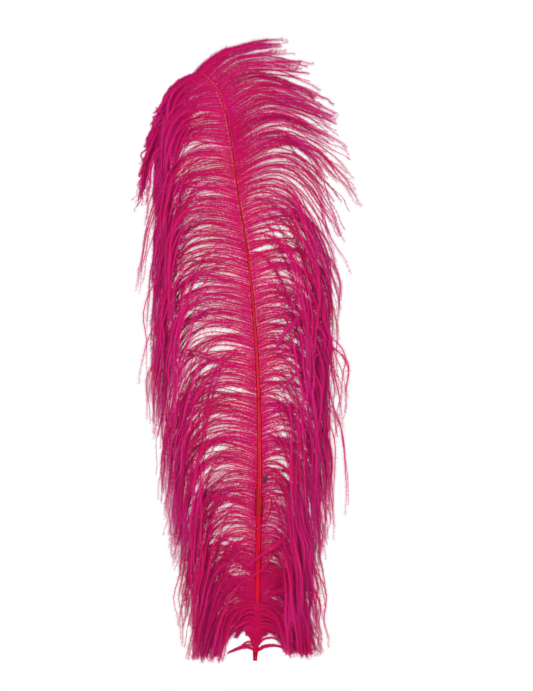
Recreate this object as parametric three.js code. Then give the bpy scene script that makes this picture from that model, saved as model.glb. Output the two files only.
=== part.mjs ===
// A dyed ostrich wing plume for costumes and hats, in millimetres.
//
// The cut end of the quill is at the origin and the shaft runs up +Z. The
// glossy outer side of the shaft faces -Y. The tip leans towards -X and rolls
// over, so its last stretch hangs down again on that side. The shaft is cut
// into four bodies with a short gap at each place where it flexes. The barbs
// stand in locks: each lock leaves the edge of the shaft, arches outwards and
// hangs, and it stays inside the height of its own body.
import * as THREE from 'three';
import { mergeVertices } from 'three/addons/utils/BufferGeometryUtils.js';

// ---- driving dimensions ----
const FLEX_HEIGHTS = [212, 380, 548];  // where the shaft is divided
const FLEX_GAP = 2.4;                  // between the ends of two shaft pieces
const FLEX_CLEARANCE = 6;              // kept free of barbs above and below a division
const FIT_GAP = 0.35;                  // between pieces that touch on the real plume

const QUILL_TOP = 42;                  // where the hollow quill ends
const QUILL_WALL = 1.3;
const QUILL_CUT_FLAT = 5;              // solid end below the hollow
const QUILL_RADIUS = 3.3;
const QUILL_END_RADIUS = 2.3;
const CAP_LENGTH = 9;

const TAPE_Z = [154, 197];             // the tape wrap around shaft and splint
const TAPE_WALL = 0.7;
const TAPE_EASE = 0.7;                 // slack in the sleeve, which is straight where the shaft bows
const SPLINT_RADIUS = 1.2;
const SPLINT_Z = [150, 208];
// The splint's bent top: sideways, forwards and up, from where it leaves the tape.
const SPLINT_BENDS = [[0, 0, 0], [4.2, 0.4, 3.6], [8.4, 6.5, 10]];

const LOCKS_PER_BODY = 6;
const LOCK_HALF_WIDTH = 6;             // in the plane of the vane
const LOCK_HALF_DEPTH = 3;
const LOCK_STANDOFF = 1.5;             // from the shaft's edge to the middle of a lock's root
const LOCK_RISE = 17;                  // how far a lock arches above its root
const LOCK_DROP = 50;                  // how far its end hangs below its root
const LOCK_LAYERS = [-15, 0, 15];      // locks alternate between three layers

// The locks of the tip: how high they arch, how far they hang and their layers.
const TIP_ROOTS = [560, 586, 610, 634];
const LEFT_TIP_LAYERS = [-18, -11, -4.5, 0];
const RIGHT_TIP_LAYERS = [-15, 0, 12, -12];
const RIGHT_TIP_RISES = [22, 34, 44, 46];
const RIGHT_TIP_FALLS = [40, 52, 40, 26];
// The short locks on the rolled tip: the way along the roll, the thickness and
// the points of each, as steps from the shaft.
const ROLL_LOCKS = {
  crown_lock_1: { roll: -0.12, size: 0.8, steps: [[2, -2, 2], [24, -8, 26], [50, -10, 38], [82, -10, 34]] },
  crown_lock_2: { roll: 0.03, size: 0.8, steps: [[1, 0, 2.6], [14, 0, 18], [36, 2, 30], [68, 4, 32]] },
  curl_lock_1: { roll: 0.2, size: 0.5, steps: [[-1, 0, 2.4], [-9, 3, 3], [-20, 5, -4], [-29, 5, -20]] },
  curl_lock_2: { roll: 0.5, size: 0.5, steps: [[-2.6, 0, 1], [-9, 3, -1], [-17, 4, -14], [-22, 4, -34]] },
  curl_lock_3: { roll: 0.72, size: 0.5, steps: [[-2.6, 0, 0], [-8, 2, -3], [-14, 3, -16], [-16, 3, -34]] },
};
// A tuft of down: sideways, outwards and height of each point of its middle line.
const DOWN_ROOT = 20;
const DOWN_STANDOFF = 1.6;
const DOWN_HALF_WIDTH = 9;
const DOWN_POINTS = [[0, 0, 16], [1, 1.5, 34], [-1, 3, 56], [2, 3, 82]];

// The shaft's centre line, from the cut end to the end of the rolled tip.
const SHAFT_POINTS = [
  [0, 0, 0], [2, 0, 40], [3.5, -2, 120], [5, -5, 204], [4, -7, 300], [0, -7, 374],
  [-8, -4, 458], [-19, 1, 526], [-27, 6, 585], [-36, 10, 628], [-47, 13, 650],
  [-62, 16, 663], [-80, 20, 656], [-98, 21, 633], [-109, 20, 603], [-114, 18, 573],
];
const TIP_CREST = 663;                 // the shaft's highest point
// Half the shaft's width at heights along it.
const SHAFT_HALF_WIDTHS = [
  [0, 3.3], [40, 3.3], [120, 3.4], [200, 3.2], [300, 2.7], [400, 2.1], [480, 1.6], [560, 1.15],
  [663, 0.8],
];

// How far the locks reach from the centre of the plume, at heights of their roots.
const LEFT_REACH = [
  [20, 82], [60, 88], [110, 97], [150, 108], [210, 120], [290, 133], [400, 136],
  [480, 136], [560, 132], [600, 126], [640, 104],
];
const RIGHT_REACH = [
  [20, 82], [60, 80], [110, 78], [150, 90], [210, 104], [290, 108], [400, 105],
  [480, 99], [560, 100], [600, 108], [640, 86],
];

const COLOURS = { quill: 0xb40f28, shaft: 0xba0a2a, pith: 0xe0b0a0, rod: 0x17100f,
                  tape: 0xa80c22, barbs: 0xc02a6c, down: 0xae1038 };

// ---- helpers ----
const point = ([x, y, z]) => new THREE.Vector3(x, y, z);
const curveThrough = (points) => new THREE.CatmullRomCurve3(points.map(point), false, 'centripetal');

/** The value at z in a table of [z, value] rows, straight between its rows. */
function valueAt(table, z) {
  const last = table.length - 1;
  if (z <= table[0][0]) return table[0][1];
  if (z >= table[last][0]) return table[last][1];
  const upper = table.findIndex((row) => row[0] > z);
  const [z0, v0] = table[upper - 1];
  const [z1, v1] = table[upper];
  return THREE.MathUtils.lerp(v0, v1, (z - z0) / (z1 - z0));
}

/** A cylinder bent along a curve: its two half axes are functions of the way along. */
function bentSolid(curve, { sides, steps, halfWidth, halfDepth, square = false }) {
  const turn = square ? Math.PI / sides : 0;
  const geometry = new THREE.CylinderGeometry(1, 1, 1, sides, steps, false, turn);
  const place = geometry.attributes.position;
  const across = new THREE.Vector3();
  const depth = new THREE.Vector3();
  for (let i = 0; i < place.count; i += 1) {
    const along = THREE.MathUtils.clamp(place.getY(i) + 0.5, 0, 1);
    const centre = curve.getPointAt(along);
    const tangent = curve.getTangentAt(along);
    depth.set(0, 1, 0).addScaledVector(tangent, -tangent.y).normalize();
    across.crossVectors(tangent, depth);
    centre.addScaledVector(across, place.getX(i) * halfWidth(along));
    centre.addScaledVector(depth, place.getZ(i) * halfDepth(along));
    place.setXYZ(i, centre.x, centre.y, centre.z);
  }
  return closed(geometry);
}

/** The same geometry with only its positions, and its shared vertices merged. */
function closed(geometry) {
  geometry.deleteAttribute('normal');
  geometry.deleteAttribute('uv');
  const merged = mergeVertices(geometry, 1e-4);
  merged.computeVertexNormals();
  return merged;
}

const plume = new THREE.Group();
const finishes = {};
for (const [name, color] of Object.entries(COLOURS)) {
  const roughness = name === 'barbs' || name === 'down' || name === 'tape' ? 0.85 : 0.35;
  finishes[name] = new THREE.MeshStandardMaterial({ color, roughness, metalness: 0, flatShading: true });
}

function addPiece(name, geometry, finish) {
  const mesh = new THREE.Mesh(geometry, finishes[finish]);
  mesh.name = name;
  plume.add(mesh);
}

// ---- shaft ----
const shaftCurve = curveThrough(SHAFT_POINTS);
shaftCurve.arcLengthDivisions = 800;
const shaftLength = shaftCurve.getLength();

/** The way along the shaft, 0 to 1, at which it rises through height z. */
function wayAtHeight(z) {
  let low = 0;
  let high = 0.85;
  for (let i = 0; i < 30; i += 1) {
    const middle = (low + high) / 2;
    if (shaftCurve.getPointAt(middle).z < z) low = middle;
    else high = middle;
  }
  return low;
}

const crestWay = wayAtHeight(TIP_CREST - 0.5);

/** Half the shaft's width at a way along it. The rolled tip thins to a point. */
function shaftHalfWidth(way) {
  if (way <= crestWay) return valueAt(SHAFT_HALF_WIDTHS, shaftCurve.getPointAt(way).z);
  return THREE.MathUtils.mapLinear(way, crestWay, 1, 0.8, 0.45);
}

/** The stretch of the shaft between two ways along it, as a curve of its own. */
function shaftStretch(from, to) {
  const count = 24;
  const points = [];
  for (let i = 0; i <= count; i += 1) {
    points.push(shaftCurve.getPointAt(THREE.MathUtils.lerp(from, to, i / count)));
  }
  return new THREE.CatmullRomCurve3(points);
}

/** One piece of the shaft: eight sided, a little flatter from front to back. */
function shaftPiece(from, to, steps) {
  const width = (along) => shaftHalfWidth(THREE.MathUtils.lerp(from, to, along));
  return bentSolid(shaftStretch(from, to), {
    sides: 8, steps, square: true, halfWidth: width, halfDepth: (along) => 0.92 * width(along),
  });
}

const cutWays = FLEX_HEIGHTS.map(wayAtHeight);
const halfGap = FLEX_GAP / 2 / shaftLength;
const shaftStart = wayAtHeight(QUILL_TOP + FIT_GAP);
addPiece('rachis_lower', shaftPiece(shaftStart, cutWays[0] - halfGap, 10), 'shaft');
addPiece('rachis_middle', shaftPiece(cutWays[0] + halfGap, cutWays[1] - halfGap, 10), 'shaft');
addPiece('rachis_upper', shaftPiece(cutWays[1] + halfGap, cutWays[2] - halfGap, 12), 'shaft');
addPiece('rachis_tip', shaftPiece(cutWays[2] + halfGap, 1, 24), 'shaft');

// ---- quill ----
/** The hollow quill: a turned profile with a solid end, then sheared to follow the shaft. */
function quillGeometry() {
  const bore = QUILL_RADIUS - QUILL_WALL;
  const profile = [
    [0, 0], [QUILL_END_RADIUS, 0], [QUILL_RADIUS, 14], [QUILL_RADIUS, QUILL_TOP],
    [bore, QUILL_TOP], [bore, QUILL_CUT_FLAT + 2], [0, QUILL_CUT_FLAT],
  ].map(([r, z]) => new THREE.Vector2(r, z));
  const geometry = new THREE.LatheGeometry(profile, 16);
  geometry.rotateX(Math.PI / 2);
  const place = geometry.attributes.position;
  for (let i = 0; i < place.count; i += 1) {
    const z = place.getZ(i);
    place.setX(i, place.getX(i) + shaftCurve.getPointAt(wayAtHeight(z)).x);
  }
  return closed(geometry);
}
addPiece('quill', quillGeometry(), 'quill');

/** The dried membranes inside the hollow quill, as one slim core. */
function quillCapGeometry() {
  const radius = QUILL_RADIUS - QUILL_WALL - FIT_GAP;
  const geometry = new THREE.CylinderGeometry(radius, radius * 0.8, CAP_LENGTH, 12, 1);
  geometry.rotateX(Math.PI / 2);
  const height = QUILL_TOP - CAP_LENGTH;
  geometry.translate(shaftCurve.getPointAt(wayAtHeight(height)).x, 0, height);
  return closed(geometry);
}
addPiece('quill_membrane', quillCapGeometry(), 'pith');

// ---- splint and its tape ----
const tapeMiddle = shaftCurve.getPointAt(wayAtHeight((TAPE_Z[0] + TAPE_Z[1]) / 2));
const tapeShaftRadius = valueAt(SHAFT_HALF_WIDTHS, TAPE_Z[0]);
const splintFoot = shaftCurve.getPointAt(wayAtHeight(SPLINT_Z[0]));  // where the shaft bows furthest back
const splintY = splintFoot.y + tapeShaftRadius + SPLINT_RADIUS + FIT_GAP;

/** The black splint rod: straight behind the shaft, its top end bent out to the right. */
function splintGeometry() {
  const { x } = tapeMiddle;
  const bent = SPLINT_BENDS.map(([aside, ahead, up]) => [x + aside, splintY - ahead, TAPE_Z[1] + up]);
  const curve = curveThrough([[x, splintY, SPLINT_Z[0]], [x, splintY, 180], ...bent]);
  const radius = () => SPLINT_RADIUS;
  return bentSolid(curve, { sides: 8, steps: 12, halfWidth: radius, halfDepth: radius });
}
addPiece('splint_rod', splintGeometry(), 'rod');

/** The tape: a sleeve whose outline goes round the shaft in front and the splint behind. */
function tapeGeometry() {
  const shaftRound = tapeShaftRadius + FIT_GAP + TAPE_EASE;
  const splintRound = SPLINT_RADIUS + FIT_GAP + TAPE_EASE;
  const outline = new THREE.Shape();
  outline.absarc(0, tapeMiddle.y, shaftRound + TAPE_WALL, Math.PI, Math.PI * 2);
  outline.absarc(0, splintY, splintRound + TAPE_WALL, 0, Math.PI);
  const hole = new THREE.Path();
  hole.absarc(0, tapeMiddle.y, shaftRound, Math.PI, Math.PI * 2);
  hole.absarc(0, splintY, splintRound, 0, Math.PI);
  outline.holes.push(hole);
  const geometry = new THREE.ExtrudeGeometry(outline, {
    depth: TAPE_Z[1] - TAPE_Z[0], bevelEnabled: false, curveSegments: 12,
  });
  geometry.translate(tapeMiddle.x, 0, TAPE_Z[0]);
  return closed(geometry);
}
addPiece('binding_tape', tapeGeometry(), 'tape');

// ---- locks of barbs ----
/** A lock's width at a way along it: narrow at the root, full in the arch, a point at the end. */
function lockTaper(along) {
  const swell = THREE.MathUtils.smoothstep(along, 0, 0.3);
  const fade = 1 - THREE.MathUtils.smoothstep(along, 0.45, 1);
  return 0.12 + 0.88 * (0.2 + 0.8 * swell) * fade;
}

function lockSolid(curve, size = 1) {
  return bentSolid(curve, {
    sides: 6,
    steps: 9,
    halfWidth: (along) => size * LOCK_HALF_WIDTH * lockTaper(along),
    halfDepth: (along) => size * LOCK_HALF_DEPTH * lockTaper(along),
  });
}

/** A lock from root to end: it climbs by rise over most of its reach, then falls. */
function archedLock({ root, side, reach, rise, fall, layer }) {
  const at = (across, up, into) => [
    root.x + side * across * reach, root.y + into * layer, root.z + up,
  ];
  return curveThrough([
    at(0, 0, 0), at(0.3, 0.72 * rise, 0.8), at(0.66, rise, 1),
    at(0.92, rise - 0.4 * fall, 1), at(1, rise - fall, 1),
  ]);
}

/** The point on the edge of the shaft where a lock at height z starts. */
function lockRoot(z, side) {
  const root = shaftCurve.getPointAt(wayAtHeight(z));
  const taped = z > TAPE_Z[0] - LOCK_HALF_WIDTH && z < TAPE_Z[1] + LOCK_HALF_WIDTH;
  const edge = taped ? tapeShaftRadius + FIT_GAP + TAPE_EASE + TAPE_WALL : valueAt(SHAFT_HALF_WIDTHS, z);
  root.x += side * (edge + LOCK_STANDOFF);
  return root;
}

/** The locks of one body on one side, between the divisions below and above it. */
function addLocks({ side, label, roots, floor, ceiling, layers, reaches, firstNumber }) {
  roots.forEach((z, i) => {
    const root = lockRoot(z, side);
    const reach = side * (side * valueAt(reaches, z) - root.x);
    const room = ceiling - z - LOCK_HALF_WIDTH;
    const rise = Math.min(LOCK_RISE, room);
    const fall = Math.min(rise + LOCK_DROP, z + rise - floor - 1);
    const layer = layers[i % layers.length];
    const number = String(firstNumber + i).padStart(2, '0');
    const curve = archedLock({ root, side, reach, rise, fall, layer });
    addPiece(`${label}_lock_${number}`, lockSolid(curve), 'barbs');
  });
}

const cells = [
  { roots: [22, 52, 82, 112, 142, 172], floor: 4, ceiling: FLEX_HEIGHTS[0] - FLEX_CLEARANCE },
];
for (const i of [0, 1]) {
  const floor = FLEX_HEIGHTS[i] + FLEX_CLEARANCE;
  const ceiling = FLEX_HEIGHTS[i + 1] - FLEX_CLEARANCE;
  const pitch = (ceiling - floor - 22) / (LOCKS_PER_BODY - 1);
  const roots = Array.from({ length: LOCKS_PER_BODY }, (_, k) => floor + 8 + k * pitch);
  cells.push({ roots, floor, ceiling });
}
cells.forEach((cell, i) => {
  const shared = { ...cell, layers: LOCK_LAYERS, firstNumber: 1 + i * LOCKS_PER_BODY };
  addLocks({ ...shared, side: -1, label: 'left', reaches: LEFT_REACH });
  addLocks({ ...shared, side: 1, label: 'right', reaches: RIGHT_REACH });
});

// ---- locks of the tip ----
const tipFloor = FLEX_HEIGHTS[2] + FLEX_CLEARANCE;
const tipNumber = 1 + 3 * LOCKS_PER_BODY;
addLocks({
  side: -1, label: 'left', roots: TIP_ROOTS, floor: tipFloor, ceiling: 700,
  layers: LEFT_TIP_LAYERS, reaches: LEFT_REACH, firstNumber: tipNumber,
});

// The right-hand locks near the tip climb steeply and hang over less and less.
TIP_ROOTS.forEach((z, i) => {
  const root = lockRoot(z, 1);
  const reach = valueAt(RIGHT_REACH, z) - root.x;
  const rise = RIGHT_TIP_RISES[i];
  const fall = Math.min(RIGHT_TIP_FALLS[i], z + rise - tipFloor - 1);
  const curve = archedLock({ root, side: 1, reach, rise, fall, layer: RIGHT_TIP_LAYERS[i] });
  addPiece(`right_lock_${tipNumber + i}`, lockSolid(curve), 'barbs');
});

for (const [name, { roll, size, steps }] of Object.entries(ROLL_LOCKS)) {
  const root = shaftCurve.getPointAt(THREE.MathUtils.lerp(crestWay, 1, roll));
  const points = steps.map((step) => [root.x + step[0], root.y + step[1], root.z + step[2]]);
  addPiece(name, lockSolid(curveThrough(points), size), 'barbs');
}

// ---- down at the foot of the vane ----
/** A tuft of down that climbs from the quill in front of or behind the shaft. */
function downTuft(facing) {
  const base = shaftCurve.getPointAt(wayAtHeight(DOWN_ROOT));
  const stand = QUILL_RADIUS + FIT_GAP + DOWN_STANDOFF;
  const points = DOWN_POINTS.map(([x, out, z]) => [base.x + x, base.y + facing * (stand + out), z]);
  return bentSolid(curveThrough(points), {
    sides: 6,
    steps: 6,
    halfWidth: (along) => DOWN_HALF_WIDTH * lockTaper(along),
    halfDepth: (along) => 1.3 + 1.0 * Math.sin(Math.PI * along),
  });
}
addPiece('front_down_tuft', downTuft(-1), 'down');
addPiece('back_down_tuft', downTuft(1), 'down');

export default plume;
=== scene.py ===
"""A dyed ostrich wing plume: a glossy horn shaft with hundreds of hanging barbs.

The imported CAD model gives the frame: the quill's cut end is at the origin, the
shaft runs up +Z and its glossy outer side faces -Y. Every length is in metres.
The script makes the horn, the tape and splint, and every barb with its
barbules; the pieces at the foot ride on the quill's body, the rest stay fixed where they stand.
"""

import logging
import math
from dataclasses import dataclass, field
from enum import Enum

import bpy
import numpy as np
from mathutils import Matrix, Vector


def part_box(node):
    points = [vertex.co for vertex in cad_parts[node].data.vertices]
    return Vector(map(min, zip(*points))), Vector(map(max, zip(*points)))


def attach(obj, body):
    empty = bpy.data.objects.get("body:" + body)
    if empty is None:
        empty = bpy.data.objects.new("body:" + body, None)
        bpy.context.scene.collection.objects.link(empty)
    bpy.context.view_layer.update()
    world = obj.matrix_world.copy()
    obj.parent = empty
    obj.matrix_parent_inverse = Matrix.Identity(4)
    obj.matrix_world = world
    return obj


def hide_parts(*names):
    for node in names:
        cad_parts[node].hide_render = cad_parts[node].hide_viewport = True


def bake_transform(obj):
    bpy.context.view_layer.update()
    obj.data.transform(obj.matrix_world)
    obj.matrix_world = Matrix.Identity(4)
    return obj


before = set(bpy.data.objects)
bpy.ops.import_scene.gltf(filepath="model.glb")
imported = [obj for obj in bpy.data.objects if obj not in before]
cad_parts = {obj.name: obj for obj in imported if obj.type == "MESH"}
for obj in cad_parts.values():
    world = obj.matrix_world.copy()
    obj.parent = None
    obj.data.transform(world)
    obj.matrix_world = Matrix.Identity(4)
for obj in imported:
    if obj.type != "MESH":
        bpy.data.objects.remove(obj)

log = logging.getLogger("plume")

Array = np.ndarray

MM = 0.001
BARB_MAP = "OFBake"  # the UV map of the barbs
BARB_ROWS = 128      # barbs that one map holds, each in a row of its own
GOLDEN = 0.618034    # steps of this share of a round never fall close together


# --------------------------------------------------------------------------
# Small geometry tools
# --------------------------------------------------------------------------


def smoothstep(x: Array, low: float = 0.0, high: float = 1.0) -> Array:
    """Rises from 0 at low to 1 at high, with a flat start and end.

    Args:
        x: values to ease.
        low: where the rise starts.
        high: where it ends.

    Returns:
        3t^2 - 2t^3, with t the way from low to high, held between 0 and 1.
    """
    t = np.clip((np.asarray(x, float) - low) / (high - low), 0.0, 1.0)
    return t * t * (3.0 - 2.0 * t)


def unit(v: Array) -> Array:
    """The vectors along the last axis of v, scaled to length one."""
    return v / np.maximum(np.linalg.norm(v, axis=-1, keepdims=True), 1e-12)


def running_integral(values: Array, step: float) -> Array:
    """The integral of evenly spaced values along their last axis, from 0, by trapezia.

    Args:
        values: the values to add up.
        step: the distance between two of them.

    Returns:
        The integral up to each value.
    """
    middles = 0.5 * (values[..., 1:] + values[..., :-1]) * step
    start = np.zeros(values.shape[:-1] + (1,))
    return np.concatenate([start, np.cumsum(middles, axis=-1)], axis=-1)


def sampled(places: Array, knots: Array, points: Array) -> Array:
    """Points read at places along a line of straight pieces.

    Args:
        places: where to read.
        knots: the places of the line's points, rising.
        points: the line's points, one row each.

    Returns:
        The points, with x, y, z on a new last axis.
    """
    return np.stack([np.interp(places, knots, column) for column in points.T], axis=-1)


def mesh_object(
    name: str, points: Array, triangles: Array, uv: Array | None = None,
) -> bpy.types.Object:
    """Puts points and triangles into a new object with smooth faces.

    Args:
        name: the object's name.
        points: corners, one row of x, y, z each.
        triangles: rows of three corner numbers, turning left seen from outside.
        uv: one row of u, v for each corner, or None.

    Returns:
        The object, linked to the scene, at the origin.
    """
    mesh = bpy.data.meshes.new(name)
    corners = triangles.astype(np.int32).ravel()
    mesh.vertices.add(len(points))
    mesh.vertices.foreach_set("co", np.asarray(points, np.float32).ravel())
    mesh.loops.add(len(corners))
    mesh.loops.foreach_set("vertex_index", corners)
    mesh.polygons.add(len(triangles))
    mesh.polygons.foreach_set("loop_start", np.arange(0, len(corners), 3, dtype=np.int32))
    mesh.polygons.foreach_set("use_smooth", np.ones(len(triangles), bool))
    if uv is not None:
        layer = mesh.uv_layers.new(name=BARB_MAP)
        layer.data.foreach_set("uv", np.asarray(uv[corners], np.float32).ravel())
    mesh.update(calc_edges=True)
    thing = bpy.data.objects.new(name, mesh)
    bpy.context.scene.collection.objects.link(thing)
    return thing


def grid_triangles(rows: int, columns: int, first: int = 0) -> Array:
    """The triangles of a tube made of rings.

    Args:
        rows: number of rings.
        columns: corners in each ring, which closes on itself.
        first: number of the first corner.

    Returns:
        Two triangles for each cell, facing out where rings turn left round the
        direction in which the rows follow each other.
    """
    row, column = np.meshgrid(np.arange(rows - 1), np.arange(columns), indexing="ij")
    here = row * columns + column
    beside = row * columns + (column + 1) % columns
    above, diagonal = here + columns, beside + columns
    cells = np.stack([here, beside, diagonal, here, diagonal, above], axis=-1)
    return first + cells.reshape(-1, 3)


def capped_tube(rings: Array) -> tuple[Array, Array]:
    """Closes a tube of rings with a fan at each end.

    Args:
        rings: ring by ring, corner by corner, x, y, z.

    Returns:
        The points and the triangles of the closed tube.
    """
    rows, columns, _ = rings.shape
    middles = np.stack([rings[0].mean(0), rings[-1].mean(0)])
    points = np.concatenate([rings.reshape(-1, 3), middles])
    ring = np.arange(columns)
    after = (ring + 1) % columns
    low = np.full(columns, rows * columns)
    start = np.stack([low, after, ring], axis=-1)
    top = (rows - 1) * columns
    end = np.stack([low + 1, top + ring, top + after], axis=-1)
    return points, np.concatenate([grid_triangles(rows, columns), start, end])


# --------------------------------------------------------------------------
# Materials
# --------------------------------------------------------------------------


def linear(red: int, green: int, blue: int) -> tuple[float, float, float, float]:
    """The scene colour, with full alpha, of a display colour given from 0 to 255.

    Args:
        red: display red.
        green: display green.
        blue: display blue.

    Returns:
        Linear red, green, blue and alpha.
    """
    value = np.array([red, green, blue]) / 255.0
    low, high = value / 12.92, ((value + 0.055) / 1.055) ** 2.4
    return (*np.where(value <= 0.04045, low, high).tolist(), 1.0)


class NodeBoard:
    """Adds nodes to a tree, one call a node, and joins them."""

    def __init__(self, tree: bpy.types.NodeTree) -> None:
        """Starts on a tree."""
        self.tree = tree

    def add(self, kind: str, inputs: dict | None = None, **settings: object) -> bpy.types.Node:
        """Adds a node.

        Args:
            kind: the node's type name.
            inputs: by socket name or number, a value or the socket to join to it.
            settings: the node's own properties.

        Returns:
            The node.
        """
        node = self.tree.nodes.new(kind)
        for name, value in settings.items():
            setattr(node, name, value)
        self.feed(node, inputs or {})
        return node

    def feed(self, node: bpy.types.Node, inputs: dict) -> None:
        """Gives a node's inputs, by name or number, a value or the socket to join to them.

        Args:
            node: the node.
            inputs: by socket name or number, a value or a socket.
        """
        for key, value in inputs.items():
            if isinstance(value, bpy.types.NodeSocket):
                self.tree.links.new(value, node.inputs[key])
            else:
                node.inputs[key].default_value = value

    def maths(self, operation: str, *values: object) -> bpy.types.NodeSocket:
        """The result of a Math node on one to three values or sockets."""
        return self.add("ShaderNodeMath", dict(enumerate(values)), operation=operation).outputs[0]

    def mix(self, factor: object, first: object, second: object) -> bpy.types.NodeSocket:
        """A colour that goes from first to second as factor goes from 0 to 1."""
        sockets = {"Factor": factor, 6: first, 7: second}
        return self.add("ShaderNodeMix", sockets, data_type="RGBA").outputs[2]

    def ramp(self, factor: object, stops: list[tuple[float, tuple]]) -> bpy.types.NodeSocket:
        """A colour read from stops of place and colour.

        Args:
            factor: where to read it, 0 to 1.
            stops: places with their colours, rising.

        Returns:
            The colour's socket.
        """
        node = self.add("ShaderNodeValToRGB", {0: factor})
        elements = node.color_ramp.elements
        while len(elements) < len(stops):
            elements.new(0.5)
        for element, (place, colour) in zip(elements, stops):
            element.position = place
            element.color = colour
        return node.outputs[0]


def new_material(name: str) -> tuple[bpy.types.Material, NodeBoard, bpy.types.Node]:
    """Starts a material.

    Args:
        name: the material's name.

    Returns:
        The material, a board on its tree, and its Principled node.
    """
    made = bpy.data.materials.new(name)
    made.use_nodes = True
    return made, NodeBoard(made.node_tree), made.node_tree.nodes["Principled BSDF"]


def grain_group() -> bpy.types.ShaderNodeTree:
    """Builds the shared effect of fine streaks and mottling on dyed horn and tape.

    Inputs are the stretch of the streaks and their scale. Outputs are Streaks,
    0 to 1 along the grain, and Mottle, 0 to 1 in soft patches.

    Returns:
        The node group.
    """
    group = bpy.data.node_groups.new("lengthwise_grain", "ShaderNodeTree")
    face = group.interface
    scale = face.new_socket("Scale", in_out="INPUT", socket_type="NodeSocketFloat")
    scale.default_value = 1500.0
    stretch = face.new_socket("Stretch", in_out="INPUT", socket_type="NodeSocketFloat")
    stretch.default_value = 0.02
    face.new_socket("Streaks", in_out="OUTPUT", socket_type="NodeSocketFloat")
    face.new_socket("Mottle", in_out="OUTPUT", socket_type="NodeSocketFloat")
    board = NodeBoard(group)
    given = board.add("NodeGroupInput")
    place = board.add("ShaderNodeTexCoord").outputs["Object"]
    squeeze = board.add("ShaderNodeCombineXYZ", {0: 1.0, 1: 1.0, 2: given.outputs["Stretch"]})
    drawn = board.add(
        "ShaderNodeVectorMath", {0: place, 1: squeeze.outputs[0]}, operation="MULTIPLY")
    streaks = board.add("ShaderNodeTexNoise", {
        "Vector": drawn.outputs[0], "Scale": given.outputs["Scale"], "Detail": 3.0})
    mottle = board.add("ShaderNodeTexNoise", {"Vector": place, "Scale": 160.0, "Detail": 2.0})
    board.add("NodeGroupOutput", {"Streaks": streaks.outputs[0], "Mottle": mottle.outputs[0]})
    return group


@dataclass(frozen=True)
class HornFinish:
    """Dyed horn: a clear red gloss, streaked along the grain, deeper in tone higher up."""

    name: str = "dyed_horn"
    light: tuple = linear(178, 0, 38)
    dark: tuple = linear(138, 0, 24)
    upper: tuple = linear(112, 0, 12)
    upper_height: float = 0.60
    upper_share: float = 0.75
    roughness: float = 0.15
    streak_roughness: float = 0.16
    specular: float = 0.12

    def material(self, grain: bpy.types.ShaderNodeTree) -> bpy.types.Material:
        """Builds the horn material around the shared grain.

        Args:
            grain: the shared grain group.

        Returns:
            The material.
        """
        made, board, shader = new_material(self.name)
        lines = board.add("ShaderNodeGroup", node_tree=grain)
        tone = board.maths("MULTIPLY_ADD", lines.outputs["Mottle"], 0.5, 0.1)
        tone = board.maths("MULTIPLY_ADD", lines.outputs["Streaks"], 0.5, tone)
        colour = board.ramp(tone, [(0.25, self.dark), (0.7, self.light)])
        place = board.add("ShaderNodeTexCoord").outputs["Object"]
        height = board.add("ShaderNodeSeparateXYZ", {0: place}).outputs[2]
        height = board.maths("DIVIDE", height, self.upper_height)
        height = board.add("ShaderNodeClamp", {0: height}).outputs[0]
        colour = board.mix(board.maths("MULTIPLY", height, self.upper_share), colour, self.upper)
        smoothest = self.roughness - 0.5 * self.streak_roughness
        rough = board.maths(
            "MULTIPLY_ADD", lines.outputs["Streaks"], self.streak_roughness, smoothest)
        relief = board.add("ShaderNodeBump", {
            "Height": lines.outputs["Streaks"], "Strength": 0.25, "Distance": 0.0002})
        board.feed(shader, {
            "Base Color": colour, "Roughness": rough, "Normal": relief.outputs[0],
            "Specular IOR Level": self.specular})
        return made


@dataclass(frozen=True)
class StreakedFinish:
    """A matt or satin finish in two tones that follow the shared grain."""

    name: str
    dark: tuple
    light: tuple
    stops: tuple[float, float]  # the tones at which it is all dark and all light
    scale: float
    stretch: float
    roughness: float
    specular: float = 0.5
    mottle: float = 0.0         # the mottling's share of the tone
    relief: float = 0.0         # strength of the crinkles

    def material(self, grain: bpy.types.ShaderNodeTree) -> bpy.types.Material:
        """Builds the material around the shared grain.

        Args:
            grain: the shared grain group.

        Returns:
            The material.
        """
        made, board, shader = new_material(self.name)
        lines = board.add(
            "ShaderNodeGroup", {"Scale": self.scale, "Stretch": self.stretch}, node_tree=grain)
        streaks = lines.outputs["Streaks"]
        tone = streaks
        if self.mottle:
            patches = board.maths("MULTIPLY", lines.outputs["Mottle"], self.mottle)
            tone = board.maths("MULTIPLY_ADD", streaks, 1 - self.mottle, patches)
        colour = board.ramp(tone, list(zip(self.stops, (self.dark, self.light))))
        board.feed(shader, {
            "Base Color": colour, "Roughness": self.roughness, "Specular IOR Level": self.specular})
        if self.relief:
            crinkle = board.add("ShaderNodeBump", {
                "Height": streaks, "Strength": self.relief, "Distance": 0.0003})
            board.feed(shader, {"Normal": crinkle.outputs[0]})
        return made


WAXED_TAPE = StreakedFinish(
    "waxed_tape", linear(98, 0, 10), linear(158, 0, 28), (0.3, 0.68), scale=900.0, stretch=0.35,
    roughness=0.5, specular=0.15, mottle=0.5, relief=0.5)
BLACK_LACQUER = StreakedFinish(
    "black_lacquer", linear(20, 12, 14), linear(50, 36, 38), (0.5, 0.8), scale=1100.0,
    stretch=0.2, roughness=0.4)
QUILL_PITH = StreakedFinish(
    "quill_pith", linear(120, 20, 34), linear(206, 128, 128), (0.35, 0.7), scale=800.0,
    stretch=1.0, roughness=0.9)


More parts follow.
